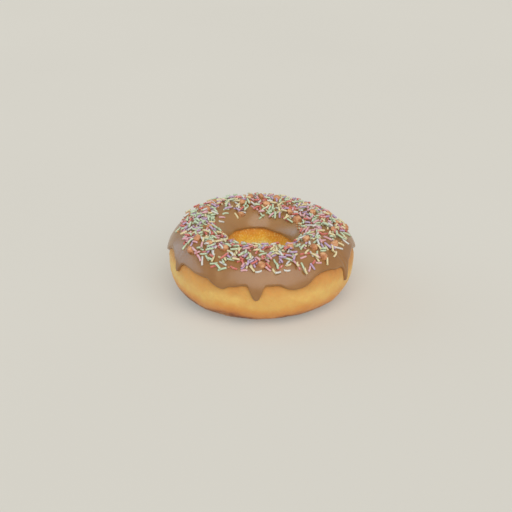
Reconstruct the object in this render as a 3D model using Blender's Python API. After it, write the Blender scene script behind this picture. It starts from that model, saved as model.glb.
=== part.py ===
"""A ring doughnut with a set chocolate frosting, sugar strands and toffee nuggets.

Metres, +Z up. The origin is the centre of the ring at the height of its flat base.
The front, where the longest drip of frosting hangs, faces -Y.
An azimuth is measured round +Z from +X. A section angle is measured on the ring's
cross-section: 0 degrees points straight out, 90 up, 180 into the hole.
"""

import math
import random

import bpy
import bmesh
from mathutils import Matrix, Vector

MM = 0.001
FRONT_AZIMUTH = 270.0
UNDERSIDE_ANGLE = 270.0

# Driving dimensions of the dough.
DOUGH_DIAMETER = 91.6 * MM
DOUGH_HEIGHT = 31.0 * MM
HOLE_DIAMETER = 30.0 * MM
WIDEST_HEIGHT = 18.0 * MM
BASE_PRESS = 0.4 * MM  # how far the rounded underside is pressed flat where it rests
UPPER_ROUNDNESS = 2.05  # superellipse exponents: 2 is an ellipse, more is squarer
LOWER_ROUNDNESS = 2.3

RING_HALF_WIDTH = (DOUGH_DIAMETER - HOLE_DIAMETER) / 4
RING_RADIUS = (DOUGH_DIAMETER + HOLE_DIAMETER) / 4
UPPER_HALF_HEIGHT = DOUGH_HEIGHT - WIDEST_HEIGHT
LOWER_HALF_HEIGHT = WIDEST_HEIGHT + BASE_PRESS
# The flat base reaches this section angle to each side of straight down.
BASE_HALF_ANGLE = math.degrees(math.acos((WIDEST_HEIGHT / LOWER_HALF_HEIGHT) ** (LOWER_ROUNDNESS / 2)))

# The ring is a little uneven and higher on its left: (waves round the ring, size, phase in degrees).
RADIUS_WAVES = ((2, 0.10 * MM, 180.0), (3, 0.58 * MM, 286.0), (4, 0.10 * MM, 10.0))
WIDTH_WAVES = ((2, 0.15 * MM, 130.0), (3, 0.10 * MM, 75.0))
HEIGHT_WAVES = ((1, 1.20 * MM, 180.0), (2, 0.30 * MM, 285.0), (5, 0.10 * MM, 0.0))

# The frosting: a skin over the top, with a lower edge outside and another inside the hole.
FROSTING_THICKNESS = 1.2 * MM
FROSTING_GAP = 0.3 * MM
EDGE_THICKNESS_SHARE = 0.5
EDGE_ROUNDING = 1.1 * MM
OUTER_EDGE_ANGLE = 21.0
INNER_EDGE_ANGLE = 155.5
SECTION_RADIUS = 15.5 * MM  # turns a length down the side into a section angle

# Drips and lobes of the outer edge: (degrees round from the front, half width in degrees, drop).
# A negative drop is a place where the edge stays higher.
DRIPS = (
    (-92.0, 13.5, 4.0 * MM),
    (-72.0, 9.0, -2.3 * MM),
    (-58.6, 3.2, 4.8 * MM),
    (-51.0, 9.0, -0.9 * MM),
    (-26.0, 7.5, 2.3 * MM),
    (-20.0, 9.0, 1.4 * MM),
    (0.0, 32.0, 0.7 * MM),
    (-3.1, 5.2, 6.7 * MM),
    (21.5, 11.5, 3.4 * MM),
    (41.0, 10.5, -1.7 * MM),
    (60.0, 5.0, 2.6 * MM),
    (59.2, 1.8, 7.2 * MM),
    (76.0, 9.0, -1.5 * MM),
    (93.0, 10.0, 3.1 * MM),
    (121.0, 6.0, 5.4 * MM),
    (146.0, 11.0, 2.6 * MM),
    (171.0, 6.0, 4.8 * MM),
    (198.0, 12.0, 3.2 * MM),
    (226.0, 5.5, 5.0 * MM),
)
DRIP_SHARPNESS = 3.0  # more makes the drips blunter, with steeper sides
INNER_EDGE_WAVES = ((1, 6.0, 45.0), (7, 0.6, 80.0), (11, 0.4, 10.0))  # degrees of section angle

# The band that the toppings lie in: (degrees from the front, outer limit, inner limit), both limits
# as section angles. Between two rows the limits change evenly.
ZONE = (
    (-180.0, 42.0, 136.0),
    (-170.0, 42.0, 127.0),
    (-150.0, 41.0, 124.0),
    (-135.0, 43.0, 112.0),
    (-118.0, 45.0, 104.0),
    (-100.0, 53.0, 110.0),
    (-85.0, 54.0, 118.0),
    (-72.0, 51.0, 126.0),
    (-50.0, 48.0, 131.0),
    (-30.0, 44.0, 133.0),
    (-12.0, 48.0, 134.0),
    (8.0, 46.0, 134.0),
    (26.0, 41.0, 134.0),
    (38.0, 44.0, 133.0),
    (52.0, 49.0, 132.0),
    (66.0, 54.0, 131.0),
    (80.0, 46.0, 130.0),
    (120.0, 42.0, 129.0),
    (150.0, 41.0, 130.0),
    (180.0, 42.0, 136.0),
)

# Bare patches inside the band: (degrees from the front, section angle, radius).
BARE_PATCHES = (
    (-154.0, 104.0, 2.0 * MM),
    (-140.0, 118.0, 2.5 * MM),
    (-126.0, 106.0, 3.6 * MM),
    (-31.0, 72.0, 2.2 * MM),
    (-16.0, 56.0, 2.2 * MM),
    (33.0, 57.0, 3.0 * MM),
    (50.0, 56.0, 2.2 * MM),
    (63.0, 75.0, 2.2 * MM),
)

# The nuggets and strands that stand out are placed: (degrees from the front, section angle, size)
# and (degrees from the front, section angle, heading, length). A heading of 0 runs round the ring
# and 90 towards the hole.
PLACED_NUGGETS = (
    (-54.0, 54.0, 3.4 * MM),
    (-33.0, 86.0, 3.4 * MM),
    (0.0, 58.0, 3.2 * MM),
    (29.0, 98.0, 3.2 * MM),
    (45.0, 54.0, 3.2 * MM),
    (46.0, 78.0, 3.0 * MM),
    (64.0, 63.0, 3.2 * MM),
    (99.0, 46.0, 3.4 * MM),
    (121.0, 54.0, 3.4 * MM),
    (124.0, 84.0, 3.0 * MM),
    (166.0, 80.0, 3.4 * MM),
    (174.0, 105.0, 3.4 * MM),
    (-180.0, 74.0, 3.0 * MM),
    (-160.0, 98.0, 3.2 * MM),
    (-150.0, 127.0, 2.6 * MM),
    (-137.0, 74.0, 2.8 * MM),
    (-126.0, 58.0, 3.2 * MM),
    (-119.0, 84.0, 3.0 * MM),
    (-72.0, 124.0, 2.6 * MM),
)
PLACED_STRANDS = (
    (-62.0, 52.0, 110.0, 3.5 * MM),
    (-47.0, 53.0, 155.0, 3.5 * MM),
    (-43.0, 49.0, 150.0, 4.0 * MM),
    (-43.0, 60.0, 30.0, 4.0 * MM),
    (-38.0, 69.0, 140.0, 4.5 * MM),
    (-34.0, 58.0, 105.0, 4.5 * MM),
    (-32.0, 50.0, 20.0, 3.5 * MM),
    (-31.0, 45.0, 35.0, 3.0 * MM),
    (-28.0, 46.0, 150.0, 4.0 * MM),
    (-25.0, 44.0, 30.0, 4.0 * MM),
    (-26.0, 54.0, 165.0, 4.0 * MM),
    (-22.0, 73.0, 65.0, 4.5 * MM),
    (-22.0, 64.0, 10.0, 3.5 * MM),
    (-18.0, 50.0, 165.0, 3.5 * MM),
    (-15.0, 65.0, 35.0, 3.5 * MM),
    (-12.0, 54.0, 60.0, 3.0 * MM),
    (-11.0, 47.0, 10.0, 3.0 * MM),
    (-7.0, 60.0, 100.0, 4.5 * MM),
    (-6.0, 50.0, 130.0, 3.5 * MM),
    (-4.0, 66.0, 110.0, 3.5 * MM),
    (-2.0, 47.0, 15.0, 3.0 * MM),
    (4.0, 60.0, 80.0, 4.5 * MM),
    (4.0, 50.0, 145.0, 3.0 * MM),
    (8.0, 46.0, 120.0, 3.0 * MM),
    (10.0, 43.0, 15.0, 3.0 * MM),
    (10.0, 62.0, 110.0, 4.5 * MM),
    (12.0, 52.0, 35.0, 3.5 * MM),
    (14.0, 68.0, 60.0, 4.5 * MM),
    (16.0, 46.0, 170.0, 3.0 * MM),
    (20.0, 65.0, 140.0, 5.0 * MM),
    (23.0, 56.0, 115.0, 4.0 * MM),
    (24.0, 48.0, 100.0, 3.0 * MM),
    (27.0, 47.0, 90.0, 4.5 * MM),
    (27.0, 38.0, 100.0, 3.0 * MM),
    (31.0, 42.0, 50.0, 3.5 * MM),
    (33.0, 43.0, 115.0, 3.5 * MM),
    (35.0, 49.0, 30.0, 3.0 * MM),
    (31.0, 65.0, 5.0, 3.5 * MM),
    (39.0, 47.0, 160.0, 3.0 * MM),
    (36.0, 72.0, 25.0, 3.5 * MM),
    (40.0, 56.0, 70.0, 5.0 * MM),
    (45.0, 43.0, 65.0, 3.5 * MM),
    (50.0, 65.0, 155.0, 3.0 * MM),
    (57.0, 53.0, 100.0, 3.0 * MM),
    (55.0, 48.0, 20.0, 3.5 * MM),
    (56.0, 68.0, 50.0, 4.5 * MM),
    (69.0, 54.0, 110.0, 3.5 * MM),
    (-127.0, 115.0, 160.0, 3.5 * MM),
    (-116.0, 117.0, 140.0, 3.5 * MM),
    (-107.0, 122.0, 130.0, 3.0 * MM),
    (-141.0, 127.0, 90.0, 3.5 * MM),
)

STRAND_DIAMETER = 1.0 * MM
STRAND_LENGTHS = (3.4 * MM, 5.2 * MM)
STRAND_LIFT = 0.12 * MM  # height of a strand's axis over the frosting
STRAND_COUNT = 175
STRAND_SIDES = 6
NUGGET_SIZES = (2.6 * MM, 3.4 * MM)
NUGGET_SQUASH = (0.8, 0.95)  # range of a nugget's height for its size
NUGGET_STRETCH = (0.85, 1.15)  # range of its length and width for its size
NUGGET_KNOCK = (0.9, 1.1)  # range by which each corner stands in or out
NUGGET_LIFT = 0.55 * MM
NUGGET_COUNT = 36
CLEARANCE = 0.2 * MM  # least space between two toppings
STRAND_SAMPLES = 5
SCATTER_SEED = 20
MOST_TRIES = 60000

NORMAL_STEP = 1.5  # degrees to each side over which the surface's direction is measured

# Fineness of the meshes. Between its edges the frosting has its rows where the dough has its own.
SECTION_STEP = 18.0
FIRST_FROSTING_ROW = 36.0
LAST_FROSTING_ROW = 144.0
BETWEEN_SHARES = (0.33, 0.67)  # places of the rows between the edge and the first even row
LAST_HOLE_ROW = 234.0
FIRST_SIDE_ROW = 306.0
EVEN_AZIMUTH_STEPS = 60
DRIP_STEPS = (-1.0, -0.6, 0.0, 0.6, 1.0)  # shares of a narrow drip's half width
NARROW_DRIP = 9.0
LEAST_AZIMUTH_STEP = 0.8


def waves(table, azimuth):
    """The sum of a table's waves at an azimuth in degrees."""
    return sum(size * math.cos(math.radians(count * azimuth - phase)) for count, size, phase in table)


def signed_power(value, exponent):
    """A power that keeps the sign of its base."""
    return math.copysign(abs(value) ** exponent, value)


def dough_point(azimuth, angle):
    """(radius, height) of the dough's surface at an azimuth and a section angle, both in degrees."""
    across = math.cos(math.radians(angle))
    up = math.sin(math.radians(angle))
    roundness = UPPER_ROUNDNESS if up > 0 else LOWER_ROUNDNESS
    half_height = UPPER_HALF_HEIGHT + waves(HEIGHT_WAVES, azimuth) if up > 0 else LOWER_HALF_HEIGHT
    half_width = RING_HALF_WIDTH + waves(WIDTH_WAVES, azimuth)
    radius = RING_RADIUS + waves(RADIUS_WAVES, azimuth) + half_width * signed_power(across, 2 / roundness)
    height = WIDEST_HEIGHT + half_height * signed_power(up, 2 / roundness)
    return radius, max(height, 0.0)


def section_normal(azimuth, angle):
    """(radius, height) parts of the dough's outward unit normal."""
    r0, z0 = dough_point(azimuth, angle - NORMAL_STEP)
    r1, z1 = dough_point(azimuth, angle + NORMAL_STEP)
    length = math.hypot(r1 - r0, z1 - z0)
    return (z1 - z0) / length, -(r1 - r0) / length


def offset_point(azimuth, angle, offset):
    """(radius, height) of a point that stands off the dough by an offset."""
    radius, height = dough_point(azimuth, angle)
    out, up = section_normal(azimuth, angle)
    return radius + out * offset, height + up * offset


def in_space(azimuth, radius, height):
    """The point in space of a section point at an azimuth."""
    turn = math.radians(azimuth)
    return Vector((radius * math.cos(turn), radius * math.sin(turn), height))


def outer_edge(azimuth):
    """Section angle of the frosting's lower edge on the outside."""
    drop = 0.0
    for from_front, half_width, depth in DRIPS:
        away = (azimuth - FRONT_AZIMUTH - from_front + 180.0) % 360.0 - 180.0
        if abs(away) < half_width:
            drop += depth * (1 - abs(away / half_width) ** DRIP_SHARPNESS) ** 2
    return OUTER_EDGE_ANGLE - math.degrees(drop / SECTION_RADIUS)


def inner_edge(azimuth):
    """Section angle of the frosting's lower edge inside the hole."""
    return INNER_EDGE_ANGLE + waves(INNER_EDGE_WAVES, azimuth)


def even_angles(first, last):
    """Section angles from the first to the last, one section step apart."""
    return [first + SECTION_STEP * i for i in range(round((last - first) / SECTION_STEP) + 1)]


def dough_section(azimuth):
    """The dough's closed cross-section at an azimuth, going round from the outside over the top."""
    base = [UNDERSIDE_ANGLE + BASE_HALF_ANGLE * side for side in (-1, 0, 1)]
    sides = even_angles(FIRST_SIDE_ROW, 360.0 - SECTION_STEP)
    return [dough_point(azimuth, angle) for angle in even_angles(0.0, LAST_HOLE_ROW) + base + sides]


def frosting_section(azimuth):
    """The frosting's closed cross-section: its outer skin inwards, then its under side back."""
    first, last = outer_edge(azimuth), inner_edge(azimuth)
    rounding = math.degrees(EDGE_ROUNDING / SECTION_RADIUS)
    top = first + rounding
    between = [top + (FIRST_FROSTING_ROW - top) * share for share in BETWEEN_SHARES]
    run = between + even_angles(FIRST_FROSTING_ROW, LAST_FROSTING_ROW)
    full = FROSTING_GAP + FROSTING_THICKNESS
    at_edge = FROSTING_GAP + FROSTING_THICKNESS * EDGE_THICKNESS_SHARE
    outside = [offset_point(azimuth, angle, full) for angle in [top] + run + [last - rounding]]
    edges = [offset_point(azimuth, angle, at_edge) for angle in (first, last)]
    under = [offset_point(azimuth, angle, FROSTING_GAP) for angle in [last] + run[::-1] + [first]]
    return edges[:1] + outside + edges[1:] + under


def even_azimuths():
    """Azimuths of the dough's cross-sections."""
    return [360.0 * i / EVEN_AZIMUTH_STEPS for i in range(EVEN_AZIMUTH_STEPS)]


def drip_azimuths():
    """Azimuths of the frosting's cross-sections: the even ones, and closer ones at each narrow drip."""
    found = set(even_azimuths())
    for from_front, half_width, _ in DRIPS:
        if half_width < NARROW_DRIP:
            found |= {(FRONT_AZIMUTH + from_front + half_width * s) % 360.0 for s in DRIP_STEPS}
    kept = []
    for azimuth in sorted(found):
        if not kept or azimuth - kept[-1] > LEAST_AZIMUTH_STEP:
            kept.append(azimuth)
    return kept


def new_object(name, bm, material):
    """A smooth-shaded object made from a bmesh."""
    bmesh.ops.recalc_face_normals(bm, faces=bm.faces)
    mesh = bpy.data.meshes.new(name)
    bm.to_mesh(mesh)
    bm.free()
    mesh.materials.append(material)
    mesh.shade_smooth()
    obj = bpy.data.objects.new(name, mesh)
    bpy.context.scene.collection.objects.link(obj)
    return obj


def loft_ring(name, section_at, azimuths, material):
    """A closed ring through the cross-sections at the azimuths."""
    bm = bmesh.new()
    loops = [[bm.verts.new(in_space(a, r, z)) for r, z in section_at(a)] for a in azimuths]
    for here, after in zip(loops, loops[1:] + loops[:1]):
        for i in range(len(here)):
            j = (i + 1) % len(here)
            bm.faces.new((here[i], after[i], after[j], here[j]))
    return new_object(name, bm, material)


def principled(name, colour, roughness):
    """A Principled material of one colour."""
    material = bpy.data.materials.new(name)
    material.use_nodes = True
    shader = material.node_tree.nodes["Principled BSDF"]
    shader.inputs["Base Color"].default_value = (*colour, 1.0)
    shader.inputs["Roughness"].default_value = roughness
    return material


def frosting_frame(azimuth, angle, lift, heading=0.0):
    """A matrix at a place over the frosting: Z is the surface's normal, X lies along the heading."""
    place = in_space(azimuth, *offset_point(azimuth, angle, FROSTING_GAP + FROSTING_THICKNESS + lift))
    normal = in_space(azimuth, *section_normal(azimuth, angle))
    round_ring = Vector((0, 0, 1)).cross(in_space(azimuth, 1.0, 0.0)).normalized()
    across = normal.cross(round_ring)
    turn = math.radians(heading)
    x_axis = round_ring * math.cos(turn) + across * math.sin(turn)
    y_axis = normal.cross(x_axis)
    turned = Matrix((x_axis, y_axis, normal)).transposed().to_4x4()
    return Matrix.Translation(place) @ turned


def samples_along(frame, length):
    """Points along the middle line of a strand."""
    return [frame @ Vector((length * (i / (STRAND_SAMPLES - 1) - 0.5), 0, 0)) for i in range(STRAND_SAMPLES)]


def zone_limits(azimuth):
    """The outer and inner section angle of the toppings' band at an azimuth."""
    from_front = (azimuth - FRONT_AZIMUTH + 180.0) % 360.0 - 180.0
    for (start, *here), (end, *there) in zip(ZONE, ZONE[1:]):
        if start <= from_front <= end:
            share = (from_front - start) / (end - start)
            return [low + (high - low) * share for low, high in zip(here, there)]


def is_bare(azimuth, angle):
    """True inside one of the bare patches."""
    here = in_space(azimuth, *dough_point(azimuth, angle))
    for from_front, middle, radius in BARE_PATCHES:
        centre = in_space(FRONT_AZIMUTH + from_front, *dough_point(FRONT_AZIMUTH + from_front, middle))
        if (centre - here).length < radius:
            return True
    return False


def scatter_toppings():
    """The placed toppings, then others at random places. Each stays only where it is clear of the rest."""
    rng = random.Random(SCATTER_SEED)
    nuggets, strands, taken = [], [], []

    def lay(is_nugget, azimuth, angle, heading, size):
        """Lays one topping if its place is free."""
        frame = frosting_frame(azimuth, angle, NUGGET_LIFT if is_nugget else STRAND_LIFT, heading)
        reach = (size if is_nugget else STRAND_DIAMETER) / 2
        points = [frame.translation] if is_nugget else samples_along(frame, size)
        if all((p - q).length > reach + other + CLEARANCE for q, other in taken for p in points):
            taken.extend((p, reach) for p in points)
            (nuggets if is_nugget else strands).append((frame, size))

    for from_front, angle, size in PLACED_NUGGETS:
        lay(True, FRONT_AZIMUTH + from_front, angle, 0.0, size)
    for from_front, angle, heading, size in PLACED_STRANDS:
        lay(False, FRONT_AZIMUTH + from_front, angle, heading, size)
    for _ in range(MOST_TRIES):
        if len(strands) == STRAND_COUNT:
            break
        is_nugget = len(nuggets) < NUGGET_COUNT
        azimuth = rng.uniform(0.0, 360.0)
        angle = rng.uniform(*zone_limits(azimuth))
        heading = rng.uniform(0.0, 180.0)
        size = rng.uniform(*(NUGGET_SIZES if is_nugget else STRAND_LENGTHS))
        # The draws thin out where the ring is narrower, so that toppings lie evenly on its surface.
        dropped = rng.uniform(0.0, RING_RADIUS + RING_HALF_WIDTH) >= dough_point(azimuth, angle)[0]
        if not dropped and not is_bare(azimuth, angle):
            lay(is_nugget, azimuth, angle, heading, size)
    return nuggets, strands


def strand_mesh(bm, frame, length):
    """One sugar strand, lying along the frame's X."""
    along = Matrix.Rotation(math.radians(90.0), 4, "Y")
    radius = STRAND_DIAMETER / 2
    bmesh.ops.create_cone(
        bm,
        cap_ends=True,
        segments=STRAND_SIDES,
        radius1=radius,
        radius2=radius,
        depth=length,
        matrix=frame @ along,
    )


def nugget_mesh(bm, frame, size, rng):
    """One toffee nugget: a ball of twenty faces, pulled out of true."""
    made = bmesh.ops.create_icosphere(bm, subdivisions=1, radius=size / 2)["verts"]
    stretch = Vector([rng.uniform(*limits) for limits in (NUGGET_STRETCH, NUGGET_STRETCH, NUGGET_SQUASH)])
    for vert in made:
        vert.co = frame @ (vert.co * stretch * rng.uniform(*NUGGET_KNOCK))


def fuse_toppings(frosting, nuggets, strands, material):
    """Joins every topping to the frosting with one Boolean union."""
    rng = random.Random(SCATTER_SEED + 1)
    toppings = bpy.data.collections.new("toppings")
    bpy.context.scene.collection.children.link(toppings)
    for index, (frame, size) in enumerate(nuggets + strands):
        bm = bmesh.new()
        if index < len(nuggets):
            nugget_mesh(bm, frame, size, rng)
        else:
            strand_mesh(bm, frame, size)
        topping = new_object(f"topping_{index}", bm, material)
        bpy.context.scene.collection.objects.unlink(topping)
        toppings.objects.link(topping)
    union = frosting.modifiers.new("toppings", "BOOLEAN")
    union.operation = "UNION"
    union.operand_type = "COLLECTION"
    union.collection = toppings
    union.solver = "EXACT"
    bpy.context.view_layer.objects.active = frosting
    bpy.ops.object.modifier_apply(modifier=union.name)
    for topping in list(toppings.objects):
        bpy.data.objects.remove(topping)
    bpy.data.collections.remove(toppings)


def main():
    for old in list(bpy.data.objects):
        bpy.data.objects.remove(old)
    dough_colour = principled("fried_dough", (0.62, 0.33, 0.10), 0.6)
    frosting_colour = principled("milk_chocolate", (0.27, 0.13, 0.06), 0.35)
    loft_ring("dough", dough_section, even_azimuths(), dough_colour)
    frosting = loft_ring("frosting", frosting_section, drip_azimuths(), frosting_colour)
    nuggets, strands = scatter_toppings()
    fuse_toppings(frosting, nuggets, strands, frosting_colour)


main()
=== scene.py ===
# %% [markdown]
# # A frosted ring doughnut with sprinkles
#
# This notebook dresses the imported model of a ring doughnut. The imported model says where
# everything lies and how big it is. Here it gets its looks: a fried crust, a set chocolate
# frosting with drips, sugar strands and toffee nuggets.
#
# Everything is in metres with +Z up, and the front is -Y. Two angles name every place on the
# ring. The azimuth goes round +Z from +X. The section angle goes round the ring's cross-section:
# 0 points straight out, 90 up and 180 into the hole.

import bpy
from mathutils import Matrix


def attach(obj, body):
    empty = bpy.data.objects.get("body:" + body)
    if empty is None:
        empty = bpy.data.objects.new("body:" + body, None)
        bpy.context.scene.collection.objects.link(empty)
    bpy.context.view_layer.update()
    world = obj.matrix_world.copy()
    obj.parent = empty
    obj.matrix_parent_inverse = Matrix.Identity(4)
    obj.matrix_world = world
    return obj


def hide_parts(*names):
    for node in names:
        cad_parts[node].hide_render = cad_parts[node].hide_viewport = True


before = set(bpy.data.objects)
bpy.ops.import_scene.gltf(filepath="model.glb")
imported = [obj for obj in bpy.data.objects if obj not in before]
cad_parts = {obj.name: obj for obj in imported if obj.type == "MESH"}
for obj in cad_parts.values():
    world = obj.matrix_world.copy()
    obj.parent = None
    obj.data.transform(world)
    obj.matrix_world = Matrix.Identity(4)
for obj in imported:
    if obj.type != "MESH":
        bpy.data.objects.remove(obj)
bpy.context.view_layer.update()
print("nodes in the frame:", sorted(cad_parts))

# %% Tools for the whole notebook
import math
import random

import bpy
from mathutils import Matrix, Vector

MM = 0.001

# %% [markdown]
# ## The form of the ring
#
# A fried ring isn't a perfect torus. Dough rises more at the top than it can at the bottom, where
# it lies on the fat and later on its own weight, so the section is an oval that is a little
# squarer below. A superellipse gives that with one number for each half: an exponent of 2 is an
# ellipse, and more is squarer. Slow waves round the ring make it as uneven as rolled dough. These
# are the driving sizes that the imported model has, so what is made here lies where its solids lie.

# %% Sizes of the ring
DOUGH_DIAMETER = 91.6 * MM
DOUGH_HEIGHT = 31.0 * MM
HOLE_DIAMETER = 30.0 * MM
WIDEST_HEIGHT = 18.0 * MM
BASE_PRESS = 0.4 * MM
UPPER_ROUNDNESS = 2.05
LOWER_ROUNDNESS = 2.3

RING_HALF_WIDTH = (DOUGH_DIAMETER - HOLE_DIAMETER) / 4
RING_RADIUS = (DOUGH_DIAMETER + HOLE_DIAMETER) / 4

# Each wave is (count round the ring, size, phase in degrees).
RADIUS_WAVES = ((2, 0.10 * MM, 180.0), (3, 0.58 * MM, 286.0), (4, 0.10 * MM, 10.0))
WIDTH_WAVES = ((2, 0.15 * MM, 130.0), (3, 0.10 * MM, 75.0))
HEIGHT_WAVES = ((1, 1.20 * MM, 180.0), (2, 0.30 * MM, 285.0), (5, 0.10 * MM, 0.0))
print(f"ring centre line {RING_RADIUS / MM:.1f} mm out, half width {RING_HALF_WIDTH / MM:.1f} mm")


# %% The dough's surface as a rule
def waves(table, azimuth):
    """The sum of a table's waves at an azimuth."""
    return sum(
        size * math.cos(math.radians(count * azimuth - phase)) for count, size, phase in table
    )


def signed_power(value, exponent):
    """A power that keeps the sign of its base."""
    return math.copysign(abs(value) ** exponent, value)


def dough_point(azimuth, angle):
    """(radius, height) of the dough's surface."""
    across = math.cos(math.radians(angle))
    up = math.sin(math.radians(angle))
    roundness = UPPER_ROUNDNESS if up > 0 else LOWER_ROUNDNESS
    rise = DOUGH_HEIGHT - WIDEST_HEIGHT + waves(HEIGHT_WAVES, azimuth)
    half_height = rise if up > 0 else WIDEST_HEIGHT + BASE_PRESS
    half_width = RING_HALF_WIDTH + waves(WIDTH_WAVES, azimuth)
    radius = RING_RADIUS + waves(RADIUS_WAVES, azimuth)
    radius += half_width * signed_power(across, 2 / roundness)
    return radius, WIDEST_HEIGHT + half_height * signed_power(up, 2 / roundness)


def section_normal(azimuth, angle, step=1.5):
    """(radius, height) parts of the dough's outward unit normal."""
    r0, z0 = dough_point(azimuth, angle - step)
    r1, z1 = dough_point(azimuth, angle + step)
    length = math.hypot(r1 - r0, z1 - z0)
    return (z1 - z0) / length, -(r1 - r0) / length


def offset_point(azimuth, angle, offset):
    """(radius, height) of a point that stands off the dough by an offset."""
    radius, height = dough_point(azimuth, angle)
    out, up = section_normal(azimuth, angle)
    return radius + out * offset, height + up * offset


def in_space(azimuth, radius, height):
    """The point in space of a section point at an azimuth."""
    turn = math.radians(azimuth)
    return Vector((radius * math.cos(turn), radius * math.sin(turn), height))


print("top of the dough at the front:", round(dough_point(270, 90)[1] / MM, 1), "mm")

# %% [markdown]
# ## From a torus to a ring of dough
#
# Blender's torus is the right start for both the dough and the frosting, because each is one
# closed section swept round a ring. It could be pushed into shape by hand with proportional
# editing. A rule is better here: the torus lists its points section by section, so each point's
# number gives its azimuth and its share of the way round the section, and a function of those two
# says where it belongs. Blender makes a torus of at most 256 sections, so a Subdivision Surface
# then doubles them both ways. The same helper makes the frosting from another torus.


# %% A torus that is shaped by a rule
def deselect_all():
    """Leaves nothing selected, as every operator acts on all that is."""
    if bpy.context.object and bpy.context.object.mode != "OBJECT":
        bpy.ops.object.mode_set(mode="OBJECT")
    bpy.ops.object.select_all(action="DESELECT")


def shaped_ring(name, around, across, place):
    """A torus whose every point is moved to place(azimuth, share of the way round the section)."""
    deselect_all()
    bpy.ops.mesh.primitive_torus_add(
        major_segments=around,
        minor_segments=across,
        major_radius=RING_RADIUS,
        minor_radius=RING_HALF_WIDTH,
    )
    ring = bpy.context.object
    ring.name = ring.data.name = name
    for point in ring.data.vertices:
        section, step = divmod(point.index, across)
        point.co = place(360.0 * section / around, step / across)
    finer = ring.modifiers.new("finer", "SUBSURF")
    finer.levels = finer.render_levels = 1
    bpy.ops.object.modifier_apply(modifier=finer.name)
    bpy.ops.object.shade_smooth()
    print(f"{name}: {len(ring.data.polygons)} faces")
    return ring


# %% The dough ring
DOUGH_AROUND = 240
DOUGH_ACROSS = 76


def dough_place(azimuth, share):
    """Where a point of the dough's torus belongs."""
    return in_space(azimuth, *dough_point(azimuth, 360.0 * share))


dough = shaped_ring("fried_dough", DOUGH_AROUND, DOUGH_ACROSS, dough_place)

# %% [markdown]
# ## A crust with relief
#
# Fried dough has a skin that swelled, set and then wrinkled a little as it cooled: slow swellings
# of about a centimetre, crinkles of two or three millimetres, and fine pits where steam came out.
# A bump map alone would leave the outline smooth, so the relief is real, made with Displace
# modifiers that read Blender's own cloud textures and are then applied. Last, what would lie below
# the floor is pressed flat, as the doughnut's own weight does.


# %% Swellings, crinkles and pits
def add_relief(piece, name, kind, grain, strength, depth=1):
    """Moves a piece's points in and out by a procedural texture, and applies it."""
    texture = bpy.data.textures.new(name, kind)
    texture.noise_scale = grain
    if kind == "CLOUDS":
        texture.noise_depth = depth
    relief = piece.modifiers.new(name, "DISPLACE")
    relief.texture = texture
    relief.texture_coords = "LOCAL"
    relief.mid_level = 0.5
    relief.strength = strength
    bpy.context.view_layer.objects.active = piece
    bpy.ops.object.modifier_apply(modifier=relief.name)


add_relief(dough, "swellings", "CLOUDS", grain=13 * MM, strength=0.9 * MM)
add_relief(dough, "crinkles", "CLOUDS", grain=2.6 * MM, strength=0.34 * MM, depth=2)
add_relief(dough, "pits", "STUCCI", grain=1.3 * MM, strength=0.16 * MM)
print("dressed dough in mm:", [round(size / MM, 1) for size in dough.dimensions])


# %% Press the base flat
def press_base(piece):
    """Brings every point below the floor up to it."""
    deselect_all()
    piece.select_set(True)
    bpy.context.view_layer.objects.active = piece
    bpy.ops.object.mode_set(mode="EDIT")
    bpy.ops.mesh.select_all(action="DESELECT")
    bpy.ops.object.mode_set(mode="OBJECT")
    low = [point for point in piece.data.vertices if point.co.z < 0]
    for point in low:
        point.select = True
    bpy.ops.object.mode_set(mode="EDIT")
    bpy.ops.transform.resize(value=(1, 1, 0), center_override=(0, 0, 0))
    bpy.ops.object.mode_set(mode="OBJECT")
    print(f"{piece.name}: {len(low)} points pressed onto the floor")


press_base(dough)
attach(dough, "root")
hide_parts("dough")

# %% [markdown]
# ## The frosting
#
# The doughnut was dipped upside down in soft frosting and turned over, so the frosting covers the
# top, runs down the outside in a few drips and stops as a thick round lip. It could be a copy of
# the dough's upper half with Solidify, but a solidified sheet has a square edge. Here the section
# of a second torus runs once along the outer skin, round the lip and back underneath, where it
# sinks a little into the dough so that no gap shows. The drips are soft bumps in the edge's line,
# each with its place from the front, its half width in degrees and how far it hangs.

# %% Where the frosting ends
FRONT = 270.0
FROSTING_THICKNESS = 1.2 * MM
FROSTING_GAP = 0.3 * MM
FROSTING_SKIN = FROSTING_GAP + FROSTING_THICKNESS
OUTER_EDGE_ANGLE = 21.0
INNER_EDGE_ANGLE = 155.5
SECTION_RADIUS = 15.5 * MM
DRIPS = (
    (-92.0, 13.5, 4.0 * MM),
    (-72.0, 9.0, -2.3 * MM),
    (-58.6, 3.2, 4.8 * MM),
    (-51.0, 9.0, -0.9 * MM),
    (-26.0, 7.5, 2.3 * MM),
    (-20.0, 9.0, 1.4 * MM),
    (0.0, 32.0, 0.7 * MM),
    (-3.1, 5.2, 6.7 * MM),
    (21.5, 11.5, 3.4 * MM),
    (41.0, 10.5, -1.7 * MM),
    (60.0, 5.0, 2.6 * MM),
    (59.2, 1.8, 7.2 * MM),
    (76.0, 9.0, -1.5 * MM),
    (93.0, 10.0, 3.1 * MM),
    (121.0, 6.0, 5.4 * MM),
    (146.0, 11.0, 2.6 * MM),
    (171.0, 6.0, 4.8 * MM),
    (198.0, 12.0, 3.2 * MM),
    (226.0, 5.5, 5.0 * MM),
)
DRIP_SHARPNESS = 3.0  # more makes the drips blunter, with steeper sides
INNER_EDGE_WAVES = ((1, 6.0, 45.0), (7, 0.6, 80.0), (11, 0.4, 10.0))


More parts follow.
